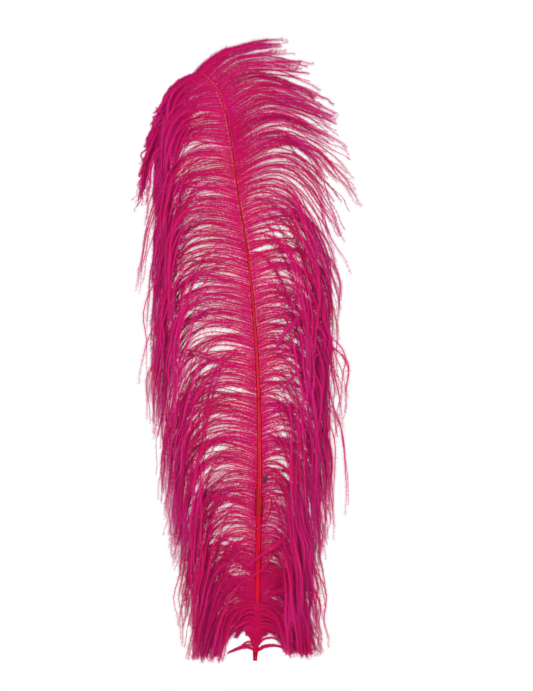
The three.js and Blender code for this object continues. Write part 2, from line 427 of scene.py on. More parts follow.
@dataclass(frozen=True)
class BarbFinish:
    """Dyed barbs: a dark red stem, lighter barbules, pinker towards the tips.

    The barbs' own map gives the way along a barb and, within the barb's row,
    the way out from its stem, so the colours follow every barb. Towards the foot
    they are pushed to crimson as painted shade of the crowded barbs there.
    """

    name: str
    stem_low: tuple = linear(206, 0, 84)
    stem_high: tuple = linear(208, 4, 108)
    fluff_root: tuple = linear(216, 10, 168)
    fluff_middle: tuple = linear(218, 30, 166)
    fluff_tip: tuple = linear(214, 78, 196)
    crimson: tuple = linear(206, 0, 84)
    shade: tuple = linear(140, 0, 44)
    crimson_share: float = 0.35
    foot_shade_share: float = 0.45     # painted shade: how much more crimson the barbs are made at the foot, where they crowd
    roughness: float = 0.7
    specular: float = 0.12
    sheen: float = 0.08

    def material(self) -> bpy.types.Material:
        """Builds the barb material.

        Returns:
            The material.
        """
        made, board, shader = new_material(self.name)
        spot = board.add("ShaderNodeUVMap", uv_map=BARB_MAP)
        parts = board.add("ShaderNodeSeparateXYZ", {0: spot.outputs[0]})
        along = parts.outputs[0]
        lane = board.maths("MULTIPLY", parts.outputs[1], float(BARB_ROWS))
        row = board.maths("FLOOR", lane)
        across = board.maths("SUBTRACT", board.maths("FRACT", lane), 0.5)
        out = board.maths("MULTIPLY", board.maths("ABSOLUTE", across), 2.2)
        chance = board.add("ShaderNodeTexWhiteNoise", {"W": row}, noise_dimensions="1D")
        chance = chance.outputs["Value"]
        wander = board.add("ShaderNodeTexNoise", {"W": row, "Scale": 0.45}, noise_dimensions="1D")
        place = board.add("ShaderNodeTexCoord").outputs["Object"]
        patches = board.add("ShaderNodeTexNoise", {"Vector": place, "Scale": 26.0, "Detail": 4.0})
        fluff = board.ramp(along, [
            (0.0, self.fluff_root), (0.45, self.fluff_middle), (1.0, self.fluff_tip)])
        stem = board.mix(along, self.stem_low, self.stem_high)
        tone = board.maths("MULTIPLY_ADD", chance, 0.5, board.maths("MULTIPLY", wander.outputs[0], 0.9))
        depth = board.maths("MULTIPLY_ADD", patches.outputs[0], 1.7, tone)
        depth = board.maths("MULTIPLY_ADD", depth, 1.5, self.crimson_share - 2.32)
        height = board.add("ShaderNodeSeparateXYZ", {0: place}).outputs[2]
        # painted shade: below 0.16 m the barbs turn more crimson, most at 0.02 m, for the shade among
        # the crowded barbs of the foot
        foot = board.add(
            "ShaderNodeMapRange", {0: height, 1: 0.02, 2: 0.16, 3: self.foot_shade_share, 4: 0.0})
        depth = board.maths("ADD", depth, foot.outputs[0])
        depth = board.add("ShaderNodeClamp", {0: depth}).outputs[0]
        fluff = board.mix(depth, fluff, self.crimson)
        grid = board.add("ShaderNodeCombineXYZ", {0: board.maths("MULTIPLY", along, 70.0), 1: lane})
        fleck = board.add(
            "ShaderNodeTexNoise", {"Vector": grid.outputs[0], "Scale": 2.2, "Detail": 1.0})
        fleck = board.add("ShaderNodeMapRange", {0: fleck.outputs[0], 1: 0.42, 2: 0.62}).outputs[0]
        out = board.maths("MULTIPLY", out, board.maths("MULTIPLY_ADD", fleck, 0.6, 0.5))
        out = board.add("ShaderNodeClamp", {0: out}).outputs[0]
        colour = board.mix(out, stem, fluff)
        dim = board.add("ShaderNodeMapRange", {0: chance, 1: 0.55, 2: 1.0, 3: 0.0, 4: 0.4})
        board.feed(shader, {
            "Base Color": board.mix(dim.outputs[0], colour, self.shade),
            "Roughness": self.roughness, "Specular IOR Level": self.specular,
            "Sheen Weight": self.sheen, "Sheen Roughness": 0.4,
            "Sheen Tint": linear(255, 150, 200)})
        return made


DYED_BARBS = BarbFinish("dyed_barbs")
DEEP_CRIMSON_BARBS = BarbFinish(
    "deep_crimson_barbs", fluff_root=linear(214, 0, 96), fluff_middle=linear(206, 0, 88),
    fluff_tip=linear(214, 16, 120))


# --------------------------------------------------------------------------
# How pieces are held
# --------------------------------------------------------------------------


@dataclass(frozen=True)
class Ride:
    """Holds a piece firmly on one body."""

    body: str

    def hold(self, piece: bpy.types.Object) -> None:
        """Makes the piece move with the body."""
        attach(piece, self.body)


@dataclass(frozen=True)
class Flex:
    """Names the joint of the shaft that a piece spans, but leaves the piece fixed where it stands."""

    joint: str
    spread: float = 45 * MM

    def hold(self, piece: bpy.types.Object) -> None:
        """Fixes the piece where it stands, with its placement put into its mesh.

        Args:
            piece: the piece to fix in place.
        """
        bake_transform(piece)


# --------------------------------------------------------------------------
# Shaft
# --------------------------------------------------------------------------


@dataclass
class ShaftLine:
    """The centre line of the shaft and its thickness, measured from the quill's end."""

    through: tuple = (
        (0, 0, 0), (2, 0, 40), (3.5, -2, 120), (5, -5, 204), (4, -7, 300), (0, -7, 374),
        (-8, -4, 458), (-19, 1, 526), (-27, 6, 585), (-36, 10, 628), (-47, 13, 650),
        (-62, 16, 663), (-80, 20, 656), (-98, 21, 633), (-109, 20, 603), (-114, 18, 573),
    )
    radii: tuple = (
        (0, 3.2), (40, 3.35), (120, 3.6), (200, 3.4), (300, 2.8), (400, 2.2), (480, 1.6),
        (560, 1.15), (680, 0.75), (790, 0.3),
    )
    distance: Array = field(init=False)
    points: Array = field(init=False)

    def __post_init__(self) -> None:
        """Samples a smooth curve through the points, a cubic for each span.

        A span's end slopes come from its neighbours, weighted by the square
        root of the distances between them, so the curve never overshoots.
        """
        given = np.array(self.through, float) * MM
        ends = np.concatenate([[2 * given[0] - given[1]], given, [2 * given[-1] - given[-2]]])
        gaps = np.linalg.norm(np.diff(ends, axis=0), axis=1)[:, None] ** 0.5
        before, here, there, beyond = ends[:-3], ends[1:-2], ends[2:-1], ends[3:]
        last, span, following = gaps[:-2], gaps[1:-1], gaps[2:]
        rise = (there - here) / span
        leave = (here - before) / last - (there - before) / (last + span) + rise
        arrive = rise - (beyond - here) / (span + following) + (beyond - there) / following
        t = np.linspace(0.0, 1.0, 40, endpoint=False)[None, :, None]
        curve = (
            here[:, None] * (2 * t**3 - 3 * t**2 + 1) + there[:, None] * (3 * t**2 - 2 * t**3)
            + (leave * span)[:, None] * (t**3 - 2 * t**2 + t)
            + (arrive * span)[:, None] * (t**3 - t**2)
        )
        self.points = np.concatenate([curve.reshape(-1, 3), given[-1:]])
        steps = np.linalg.norm(np.diff(self.points, axis=0), axis=1)
        self.distance = np.concatenate([[0], np.cumsum(steps)])

    @property
    def length(self) -> float:
        """The distance along the shaft from the quill's end to the tip."""
        return float(self.distance[-1])

    def at(self, way: Array) -> Array:
        """The points of the centre line at distances along it."""
        return sampled(way, self.distance, self.points)

    def heading(self, way: Array) -> Array:
        """The unit directions of the centre line at distances along it."""
        reach = 4 * MM
        ahead = np.minimum(np.asarray(way) + reach, self.length)
        return unit(self.at(ahead) - self.at(np.maximum(ahead - 2 * reach, 0.0)))

    def radius(self, way: Array) -> Array:
        """Half the shaft's width at distances along it."""
        table = np.array(self.radii) * MM
        return np.interp(way, table[:, 0], table[:, 1])


@dataclass
class Horn:
    """The glossy shaft: a tapering horn, round in front and grooved behind."""

    line: ShaftLine
    corners: int = 20
    step: float = 3 * MM
    groove: float = 0.34
    stretches: tuple = (
        ("shaft_low", 0.0405, 0.296, "lower_flex", ("rachis_lower", "rachis_middle")),
        ("shaft_middle", 0.296, 0.464, "middle_flex", ("rachis_upper",)),
        ("shaft_high", 0.464, 0.800, "tip_flex", ("rachis_tip",)),
    )

    def section(self, way: Array) -> Array:
        """The shaft's outline at distances along it.

        The angle runs round from the right, through the front. The radius is
        the shaft's own, less a cosine-shaped dip at the back, which is the
        groove that a plume's shaft has on its hidden side.

        Args:
            way: distances along the shaft.

        Returns:
            Rings of points, one for each distance.
        """
        turn = np.linspace(0, 2 * np.pi, self.corners, endpoint=False)[None, :]
        back = smoothstep(np.sin(turn), 0.45, 1.0)
        share = (1 - self.groove * back) * self.line.radius(way)[:, None]
        centre, up = self.line.at(way), self.line.heading(way)
        into = unit(np.array([0.0, 1.0, 0.0]) - up * up[:, 1:2])
        across = np.cross(into, up)
        return (
            centre[:, None] + (share * np.cos(turn))[..., None] * across[:, None]
            + (0.92 * share * np.sin(turn))[..., None] * into[:, None]
        )

    def build(self, finish: bpy.types.Material) -> None:
        """Makes the three stretches of the shaft, each fixed in place, and hides the CAD parts they
        stand in for.

        Args:
            finish: the horn.
        """
        for name, low, high, joint, nodes in self.stretches:
            count = int((min(high, self.line.length) - low) / self.step) + 2
            rings = self.section(np.linspace(low, min(high, self.line.length), count))
            piece = mesh_object(name, *capped_tube(rings))
            piece.data.materials.append(finish)
            Flex(joint).hold(piece)
            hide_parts(*nodes)
            log.info("%s: %d triangles", name, len(piece.data.polygons))


@dataclass
class Quill:
    """The bare hollow quill, cut on a slant in front so that its bore shows."""

    line: ShaftLine
    body: str = "quill_and_foot"
    corners: int = 28
    wall: float = 0.9 * MM
    cut_height: float = 11 * MM
    end_radius: float = 2.3 * MM

    def radius(self, height: Array) -> Array:
        """Half the quill's width: it swells from its end to full width over 14 mm."""
        full = self.line.radius(np.full_like(height, 0.04))
        return self.end_radius + (full - self.end_radius) * smoothstep(height, 0.0, 14 * MM)

    def build(self, horn: bpy.types.Material, pith: bpy.types.Material) -> None:
        """Makes the quill as one wall, out and back, and the pith inside it.

        The wall's profile goes up the outside, over the top and down the bore.
        Its foot is cut on a slant: at the front a point of the foot is lifted
        by the cut's height, less towards the sides, so the bore lies open.

        Args:
            horn: the wall's material.
            pith: the material inside.
        """
        top = 41 * MM
        turn = np.linspace(0, 2 * np.pi, self.corners, endpoint=False)[None, :]
        share = np.linspace(0, 1, 16)[:, None]
        foot = self.cut_height * smoothstep(-np.sin(turn), 0.1, 1.0)
        height = foot + (top - foot) * share
        outer, inner = self.radius(height), self.radius(height) - self.wall
        heights = np.concatenate([height, height[::-1]])
        radii = np.concatenate([outer, inner[::-1]])
        centre = self.line.at(heights.ravel()).reshape(*heights.shape, 3)
        rings = np.stack([
            centre[..., 0] + radii * np.cos(turn),
            centre[..., 1] + radii * np.sin(turn), heights], axis=-1)
        rows = len(heights)
        triangles = grid_triangles(rows + 1, self.corners) % (rows * self.corners)
        piece = mesh_object("quill_horn", rings.reshape(-1, 3), triangles)
        piece.data.materials.append(horn)
        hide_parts("quill")
        core = self.core(pith)
        for thing in (piece, core):
            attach(thing, self.body)
        log.info("quill: %d triangles", len(piece.data.polygons))

    def core(self, pith: bpy.types.Material) -> bpy.types.Object:
        """The dried membranes: a slim core pinched into caps along its length.

        Args:
            pith: its material.

        Returns:
            The object.
        """
        height = np.linspace(12 * MM, 40 * MM, 57)
        pinch = 0.72 + 0.28 * np.abs(np.sin(np.pi * height / (4 * MM)))
        radius = (self.radius(height) - self.wall - 0.2 * MM) * pinch * 0.9
        turn = np.linspace(0, 2 * np.pi, 16, endpoint=False)
        centre = self.line.at(height)
        rings = np.stack([
            centre[:, :1] + radius[:, None] * np.cos(turn),
            centre[:, 1:2] + radius[:, None] * np.sin(turn),
            np.repeat(height[:, None], len(turn), axis=1)], axis=-1)
        piece = mesh_object("quill_pith_core", *capped_tube(rings))
        piece.data.materials.append(pith)
        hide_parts("quill_membrane")
        return piece


@dataclass
class Binding:
    """The splint behind the shaft and the tape wound round both."""

    line: ShaftLine
    body: str = "quill_and_foot"
    pitch: float = 13 * MM
    lap: float = 1.55               # the tape's width, in pitches
    thickness: float = 0.45 * MM
    ease: float = 0.45 * MM
    rod: float = 1.2 * MM           # half the splint's thickness
    rod_straight: float = 180 * MM  # the height up to which it is straight
    rod_end: tuple = (              # its free end, in millimetres from its foot and the tape's top
        (0.2, 0, -1), (4.2, -2.0, 2.4), (7.2, -8.4, 6), (9.0, -10.8, 13),
    )

    def girth(self, way: Array, turn: Array, swell: Array) -> Array:
        """The point of the wrap at distances along the shaft and angles round it.

        The outline is the shaft's round in front. Behind, it is drawn out by
        the splint's width, as a cosine that is full at the back.

        Args:
            way: distances along the shaft.
            turn: angles round it, from the right through the back.
            swell: extra radius of each point.

        Returns:
            The points.
        """
        box_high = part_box("splint_rod")[1]
        centre = self.line.at(way)
        radius = self.line.radius(way) + self.ease + swell
        behind = float(box_high[1]) + self.ease - centre[..., 1] - self.line.radius(way)
        stretch = smoothstep(np.sin(turn), 0.0, 1.0) * behind
        x = centre[..., 0] + radius * np.cos(turn)
        y = centre[..., 1] + (radius + stretch) * np.sin(turn)
        return np.stack([x, y, way], axis=-1)

    def tape(self, finish: bpy.types.Material) -> None:
        """Winds the tape: a flat band on a helix, each turn lapping the last.

        Along the band the angle grows and the height with it. Across the band
        the corners of its section are the outer face from the lower to the
        upper edge, then the inner face back, and the upper edge lies a layer
        further out.

        Args:
            finish: its material.
        """
        low, high = (float(corner[2]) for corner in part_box("binding_tape"))
        band = self.lap * self.pitch
        climb = high - low - band
        turns = climb / self.pitch
        turn = np.linspace(0, 2 * np.pi * turns, int(56 * turns))
        edge = np.array([0.0, 0.02, 0.5, 0.98, 1.0, 1.0, 0.98, 0.5, 0.02, 0.0])
        lift = np.array([0.45, 1.0, 1.5, 2.0, 1.6, 1.3, 1.0, 0.55, 0.1, 0.1]) * self.thickness
        way = low + climb * (turn / turn[-1])[:, None] + band * edge[None, :]
        crinkle = 0.06 * MM * np.sin(turn * 9.0)[:, None] * np.sin(np.pi * edge)[None, :]
        turns_round = np.repeat(turn[:, None], len(edge), axis=1)
        rings = self.girth(way, turns_round, lift[None, :] + crinkle)
        points, triangles = capped_tube(rings)
        piece = mesh_object("tape_winding", points, triangles[:, ::-1])
        piece.data.materials.append(finish)
        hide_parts("binding_tape")
        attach(piece, self.body)
        log.info("tape: %d triangles", len(piece.data.polygons))

    def splint(self, finish: bpy.types.Material) -> None:
        """Makes the splint: a flat black rod, its top end bent out and cut to a blunt point.

        Args:
            finish: its material.
        """
        low, high = (np.array(corner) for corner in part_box("splint_rod"))
        radius = self.rod
        top = float(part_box("binding_tape")[1][2])
        foot = np.array([low[0] + radius, high[1] - radius, 0.0])
        straight = [foot + [0, 0, low[2]], foot + [0, 0, self.rod_straight]]
        bent = [foot + [0, 0, top] + np.array(place) * MM for place in self.rod_end]
        through = np.array(straight + bent)
        t = np.linspace(0, 1, 40)
        spine = sampled(t, np.linspace(0, 1, len(through)), through)
        kernel = np.ones(5) / 5
        padded = np.pad(spine, ((2, 2), (0, 0)), mode="edge")
        spine = np.stack([np.convolve(row, kernel, mode="valid") for row in padded.T], axis=-1)
        along = unit(np.gradient(spine, axis=0))
        into = unit(np.array([0.0, 1.0, 0.0]) - along * along[:, 1:2])
        across = np.cross(into, along)
        turn = np.linspace(0, 2 * np.pi, 14, endpoint=False)
        leaf = 1.0 + smoothstep(t, 0.68, 0.86)
        wide = (radius * leaf * (1 - 0.8 * smoothstep(t, 0.88, 1.0)))[:, None]
        rings = (
            spine[:, None] + (wide * np.cos(turn))[..., None] * across[:, None]
            + (radius * np.sin(turn) * np.ones_like(wide))[..., None] * into[:, None])
        piece = mesh_object("splint_end", *capped_tube(rings))
        piece.data.materials.append(finish)
        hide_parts("splint_rod")
        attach(piece, self.body)
        log.info("splint: %d triangles", len(piece.data.polygons))


# --------------------------------------------------------------------------
# Barbs
# --------------------------------------------------------------------------


class Side(Enum):
    """The two vanes of the plume, as the sign of X."""

    LEFT = -1
    RIGHT = 1


@dataclass(frozen=True)
class Habit:
    """How barbs grow at a place on the shaft. Angles are in degrees above outward."""

    way: float      # distance of their roots along the shaft, in millimetres
    lift: float     # angle at which they leave the shaft
    hang: float     # angle at which they end
    length: float   # millimetres
    far: float      # how far out the longest reach, in millimetres
    near: float     # the least share of that which the front and back ones reach
    spread: float   # how far these lie from the middle plane, in millimetres
    middle: float = 0.38  # where arching barbs near the tip bend, as a share of their length


RIGHT_HABITS = (
    Habit(16, 80, -50, 100, 56, 0.60, 12), Habit(40, 68, -70, 132, 82, 0.40, 18),
    Habit(70, 52, -80, 156, 86, 0.32, 20), Habit(90, 45, -83, 164, 80, 0.31, 22),
    Habit(120, 38, -85, 172, 68, 0.34, 23), Habit(160, 35, -86, 180, 72, 0.33, 23),
    Habit(200, 34, -87, 192, 84, 0.29, 24), Habit(250, 33, -88, 200, 100, 0.25, 24),
    Habit(300, 32, -88, 208, 107, 0.25, 24), Habit(350, 30, -88, 210, 108, 0.33, 24),
    Habit(405, 28, -87, 212, 108, 0.52, 24), Habit(460, 26, -87, 212, 114, 0.54, 24),
    Habit(500, 28, -82, 206, 116, 0.62, 22), Habit(523, 30, -72, 196, 117, 0.66, 22, 0.40),
    Habit(539, 34, -66, 190, 113, 0.70, 20, 0.42), Habit(556, 36, -58, 182, 113, 0.76, 19, 0.45),
    Habit(573, 38, -48, 168, 113, 0.80, 18, 0.45), Habit(590, 41, -38, 154, 114, 0.84, 16, 0.43),
    Habit(608, 44, -26, 152, 119, 0.86, 15, 0.38), Habit(626, 46, -28, 148, 119, 0.88, 14, 0.34),
    Habit(642, 47, -22, 132, 110, 0.90, 13, 0.33), Habit(656, 48, -6, 124, 96, 0.90, 12, 0.30),
    Habit(668, 51, 2, 118, 86, 0.90, 10, 0.34), Habit(680, 52, 8, 104, 74, 0.9, 9, 0.37),
    Habit(690, 50, 16, 76, 44, 0.9, 8, 0.38),
)
LEFT_HABITS = (
    Habit(16, 80, -56, 100, 58, 0.56, 12), Habit(40, 66, -74, 132, 76, 0.44, 18),
    Habit(70, 50, -80, 160, 86, 0.42, 20), Habit(120, 34, -85, 184, 93, 0.46, 23),
    Habit(200, 27, -87, 206, 105, 0.52, 24), Habit(260, 25, -88, 218, 119, 0.57, 24),
    Habit(300, 24, -88, 230, 131, 0.47, 24), Habit(350, 23, -88, 230, 131, 0.48, 24),
    Habit(405, 22, -88, 230, 131, 0.64, 24), Habit(460, 21, -88, 224, 124, 0.64, 24),
    Habit(500, 20, -87, 216, 119, 0.62, 23), Habit(560, 17, -86, 202, 110, 0.64, 19),
    Habit(600, 12, -84, 180, 96, 0.68, 16), Habit(640, 3, -84, 150, 76, 0.72, 12),
    Habit(665, -12, -85, 116, 52, 0.74, 10), Habit(690, -34, -86, 98, 36, 0.80, 8),
)
RIGHT_ROLL = (
    Habit(680, 174, 212, 28, 0, 1.0, 8), Habit(700, 194, 226, 32, 0, 1.0, 9),
    Habit(728, 220, 244, 40, 0, 1.0, 10), Habit(760, 238, 252, 62, 0, 1.0, 10),
    Habit(794, 244, 256, 70, 0, 1.0, 10),
)
LEFT_ROLL = (
    Habit(680, -48, -86, 80, 0, 1.0, 8), Habit(703, -66, -88, 84, 0, 1.0, 9),
    Habit(733, -84, -90, 84, 0, 1.0, 10), Habit(765, -96, -92, 76, 0, 1.0, 10),
    Habit(794, -100, -94, 60, 0, 1.0, 10),
)
DOWN_HABITS = (
    Habit(14, 88, 58, 42, 8, 0.5, 3), Habit(26, 86, -10, 62, 20, 0.4, 5),
    Habit(45, 80, -52, 86, 36, 0.3, 7), Habit(70, 68, -62, 98, 50, 0.3, 8),
    Habit(96, 52, -66, 108, 60, 0.3, 8),
)


def habit_at(table: tuple[Habit, ...], name: str, way: Array) -> Array:
    """One column of a table of habits, read between its rows at distances in metres."""
    places = np.array([row.way for row in table]) * MM
    return np.interp(way, places, [getattr(row, name) for row in table])


def bend(share: Array, centre: Array, width: Array) -> Array:
    """How much of its whole turn a barb has made at shares of its length.

    The turn is a hyperbolic tangent around centre, shifted to start at 0.

    Args:
        share: places along the barb, 0 to 1, on the last axis.
        centre: where each barb bends most.
        width: over what share of its length it bends.

    Returns:
        0 at the root, rising towards 1.
    """
    start = np.tanh(-centre / width)
    return (np.tanh((share - centre) / width) - start) / (1.0 - start)


@dataclass(frozen=True)
class Parting:
    """A slit where two neighbouring barbs stand apart. Lengths are in millimetres."""

    way: float        # distance along the shaft of the roots that it lies between
    out: float        # distance from the shaft to its middle
    half: float       # half its length
    opening: float    # its width in the middle
    fade: float = 9.0  # distance along the shaft over which the barbs close up again


RIGHT_PARTINGS = (
    Parting(622, 62, 26, 3.5), Parting(602, 45, 16, 2.5), Parting(575, 52, 26, 3.5),
    Parting(552, 40, 16, 2.5), Parting(530, 42, 20, 3.5), Parting(498, 30, 14, 2.0),
    Parting(462, 26, 14, 2.5), Parting(447, 22, 12, 2.5), Parting(432, 24, 20, 4.5),
    Parting(421, 36, 26, 4.5), Parting(405, 22, 14, 2.5), Parting(394, 34, 18, 5.0),
)
LEFT_PARTINGS = (
    Parting(626, 36, 16, 2.5), Parting(614, 34, 22, 3.0), Parting(563, 34, 16, 3.0),
    Parting(540, 40, 20, 2.0), Parting(520, 34, 24, 2.5), Parting(497, 62, 17, 5.0),
    Parting(480, 46, 24, 6.0), Parting(444, 28, 22, 3.0), Parting(430, 28, 26, 4.5),
    Parting(399, 24, 16, 3.0), Parting(334, 30, 20, 2.0), Parting(300, 28, 22, 4.5),
    Parting(212, 50, 20, 5.5), Parting(193, 34, 28, 2.0), Parting(150, 28, 15, 3.5),
    Parting(131, 34, 32, 6.0),
)


@dataclass
class Barbs:
    """A set of barbs as curves: paths[barb, step] in metres, root first."""

    paths: Array
    ways: Array
    clumps: Array

    def take(self, chosen: Array) -> "Barbs":
        """The barbs that a mask or a list of numbers picks out."""
        return Barbs(self.paths[chosen], self.ways[chosen], self.clumps[chosen])


@dataclass(frozen=True)
class Variety:
    """How much barbs, and clumps of them, differ. Angles are in degrees."""

    root: float = 0.3                                   # of a barb's root, in pitches
    layer: float = 0.09                                 # of a barb's place from back to front
    drift: float = 0.05                                 # of the body's barbs along the shaft
    lift: float = 0.8
    hang: float = 3.0
    lean: tuple[float, float] = (4.5, 7.0)              # of a clump: usual, and the most
    body_lean: float = 0.3                              # share of it that the body's barbs take
    stray_lean: tuple[float, float] = (2.0, 13.0)
    length: tuple[float, float] = (0.84, 1.04)
    clump_length: tuple[float, float] = (0.86, 1.06)
    reach: tuple[float, float] = (0.95, 1.03)
    bend: tuple[float, float] = (0.16, 0.22)            # width of a falling clump's bend
    body_bend: float = 0.26
    middle: float = 0.03
    foot: tuple[float, float] = (-2 * MM, 3 * MM)
    tight: tuple[float, float] = (0.12, 0.5)            # how far a clump closes up
    stray_tight: float = 0.1
    sway: tuple = (2.4 * MM, 1.8 * MM, 0.4 * MM)        # of a clump in x, y and z
    ripple: tuple = (1.5 * MM, 0.8 * MM, 0.2 * MM)      # the same, in shorter waves
    waves: tuple = ((1.5, 0.9 * MM), (4.5, 0.5 * MM))   # of a barb: cycles and size


@dataclass
class Growth:
    """Grows the barbs of one side of the shaft and combs them into locks."""

    line: ShaftLine
    side: Side
    habits: tuple[Habit, ...]
    low: float
    high: float
    pitch: float = 1.15 * MM
    steps: int = 22
    seed: int = 1
    partings: tuple[Parting, ...] = ()
    clump_sizes: tuple[int, int] = (7, 16)
    falling_share: float = 0.45
    stray_share: float = 0.04
    rolled: bool = False
    rolled_bend: float = 0.12       # where a rolled barb bends, as a share of its length
    front: float = 0.0              # how far in front of the shaft's middle the roots stand
    stance: float = 0.8             # how far to the side, in shaft radii
    curl: float = 1.0
    calm: float = 0.25              # the share of a barb next to the shaft that doesn't wave
    pinned_from: float = math.inf   # from here up the habits say where a barb bends
    pinned_ease: tuple[float, float] = (45 * MM, 35 * MM)
    crowded_to: float = 0.0         # up to here the barbs stand closer
    crowding: float = 0.75
    trim: tuple[float, float] = (5 * MM, 15 * MM)
    arch: float = 16 * MM
    arch_reach: tuple[float, float] = (14 * MM, 34 * MM)
    variety: Variety = Variety()

    def bend_centres(
        self, lift: Array, hang: Array, length: Array, width: Array, reach: Array,
    ) -> Array:
        """Where each barb has to bend to reach as far as it should.

        The reach is the integral of the cosine of the angle along the barb. It
        grows as the bend moves out, so twelve halvings find the place.

        Args:
            lift: angles at the root, in radians.
            hang: angles at the end.
            length: the barbs' lengths.
            width: the bends' widths, as a share of the length.
            reach: how far out each should come.

        Returns:
            The bends' centres, as shares of the length.
        """
        share = np.linspace(0, 1, self.steps)[None, :]
        low, high = np.full(len(lift), -0.25), np.full(len(lift), 1.4)
        for _ in range(12):
            middle = (low + high) / 2
            angle = self.angles(share, lift, hang, middle, width)
            out = length * running_integral(np.cos(angle), share[0, 1])[:, -1]
            short = out < reach
            low, high = np.where(short, middle, low), np.where(short, high, middle)
        return (low + high) / 2

    @staticmethod
    def angles(share: Array, lift: Array, hang: Array, centre: Array, width: Array) -> Array:
        """Each barb's angle above outward along its length: from lift to hang as it bends."""
        turned = bend(share, centre[:, None], width[:, None])
        return lift[:, None] + (hang - lift)[:, None] * turned

    def grow(self) -> Barbs:
        """Grows every barb of the side, one after another along the shaft.

        Returns:
            The combed barbs.
        """
        rng, vary = np.random.default_rng(self.seed), self.variety
        close = np.arange(self.low, self.crowded_to, self.crowding * self.pitch)
        loose = np.arange(max(self.crowded_to, self.low), self.high, self.pitch)
        ways = np.concatenate([close, loose])
        count = len(ways)
        ways = ways + rng.uniform(-vary.root, vary.root, count) * self.pitch
        sizes = rng.integers(self.clump_sizes[0], self.clump_sizes[1] + 1, count)
        falling = rng.random(count) < self.falling_share
        ends = np.cumsum(sizes)
        clumps = 2 * np.searchsorted(ends, np.arange(count), side="right") + falling
        total = clumps.max() + 1
        layer = self.layers(rng, ways, clumps, falling)
        column = {name: habit_at(self.habits, name, ways)
                  for name in ("lift", "hang", "length", "far", "near", "spread", "middle")}
        stray = rng.random(count) < self.stray_share
        lift = np.radians(column["lift"] + rng.normal(0, vary.lift, count))
        hang = np.radians(column["hang"] + rng.normal(0, vary.hang, count))
        usual, most = vary.lean
        lean = np.radians(np.clip(rng.normal(0, usual, total), -most, most))
        hang = hang + lean[clumps] * np.where(falling, 1.0, vary.body_lean)
        hang = np.where(stray, hang + np.radians(rng.uniform(*vary.stray_lean, count)), hang)
        length = column["length"] * MM * rng.uniform(*vary.length, count)
        length = length * rng.uniform(*vary.clump_length, total)[clumps]
        body_inward = 0.1 + 0.75 * np.clip(0.5 - 1.25 * layer, 0, 1)
        inward = (1 - column["near"]) * np.where(falling, np.abs(layer) ** 0.8, body_inward)
        reach = column["far"] * MM * (1 - inward) * rng.uniform(*vary.reach, count)
        below, above = self.pinned_ease
        pinned = 0.0
        if math.isfinite(self.pinned_from):
            pinned = smoothstep(ways, self.pinned_from - below, self.pinned_from + above)
        length = length * (1 - inward * pinned)
        width = np.where(falling, rng.uniform(*vary.bend, total)[clumps], vary.body_bend)
        if self.rolled:
            centre = np.full(count, self.rolled_bend)
        else:
            centre = self.bend_centres(lift, hang, length, width, reach)
            middle = column["middle"] + rng.normal(0, vary.middle, count)
            centre = centre + pinned * (middle - centre)
        depth = layer * column["spread"] * MM
        paths = self.paths(ways, lift, hang, length, width, centre, depth)
        combed = self.comb(Barbs(paths, ways, clumps), rng, stray)
        self.part(combed)
        foot = rng.uniform(*self.trim, total)[clumps] + rng.uniform(*vary.foot, count)
        return self.trimmed(combed, np.maximum(foot, 3 * MM))

    def layers(self, rng: np.random.Generator, ways: Array, clumps: Array, falling: Array) -> Array:
        """Where each barb lies between the back and the front of the vane.

        A falling clump is a golden section of the depth on from the last, so
        neighbours never lie together. The body's barbs stay near the middle
        and drift by two sines along the shaft.

        Args:
            rng: the source of chance.
            ways: the roots' distances along the shaft.
            clumps: the number of each barb's clump.
            falling: which barbs belong to the locks in front and behind.

        Returns:
            Places from -1 in front to 1 behind.
        """
        total = clumps.max() + 1
        place = np.mod(np.arange(total) * GOLDEN + rng.uniform(-0.1, 0.1, total), 1.0)
        place = 2 * place - 1
        phase = rng.uniform(0, 2 * np.pi, 2)
        drift = np.sin(ways / (6 * MM) + phase[0]) + 0.7 * np.sin(ways / (10 * MM) + phase[1])
        layer = np.where(falling, place[clumps], self.variety.drift * drift)
        return layer + rng.normal(0, self.variety.layer, len(ways))

    def part(self, barbs: Barbs) -> None:
        """Opens the partings: barbs above one are raised, those below it lowered.

        The push is two fifths of the opening, times a squared cosine over the
        parting's length, times an exponential fade with the distance between
        roots. It ends a few steps after a barb has begun to hang.

        Args:
            barbs: the barbs, whose paths are changed.
        """
        root = self.line.at(barbs.ways)
        out = np.abs(barbs.paths[..., 0] - root[:, None, 0])
        first = np.arange(barbs.paths.shape[1])[None, :] * 1.0
        highest = barbs.paths[..., 2].argmax(axis=1)[:, None]
        hanging = 1 - smoothstep(first - highest, 4.0, 12.0)
        for parting in self.partings:
            offset = barbs.ways / MM - parting.way
            along = np.clip((out / MM - parting.out) / parting.half, -1, 1)
            push = 0.4 * parting.opening * MM * np.cos(0.5 * np.pi * along) ** 2
            fade = np.sign(offset) * np.exp(-np.abs(offset) / parting.fade)
            barbs.paths[..., 2] += push * fade[:, None] * hanging

    def trimmed(self, barbs: Barbs, foot: Array) -> Barbs:
        """Shortens the barbs that hang lower than the foot of the plume.

        The foot is arched over the quill: it is higher there by the arch, and
        comes down to full depth as a smooth step over the arch's reach.

        Args:
            barbs: the barbs.
            foot: the height below which none of a barb may hang.

        Returns:
            The barbs, each drawn again over the part of it that is kept.
        """
        steps = barbs.paths.shape[1]
        arch = self.arch * (1 - smoothstep(np.abs(barbs.paths[..., 0]), *self.arch_reach))
        past = (barbs.paths[..., 2] < foot[:, None] + arch) & (np.arange(steps) > steps // 4)
        first = np.where(past.any(axis=1), past.argmax(axis=1), steps - 1)
        place = first[:, None] * np.linspace(0, 1, steps)[None, :]
        step = np.minimum(place.astype(int), steps - 2)
        rest = (place - step)[..., None]
        barb = np.arange(len(first))[:, None]
        paths = barbs.paths[barb, step] * (1 - rest) + barbs.paths[barb, step + 1] * rest
        return Barbs(paths, barbs.ways, barbs.clumps)

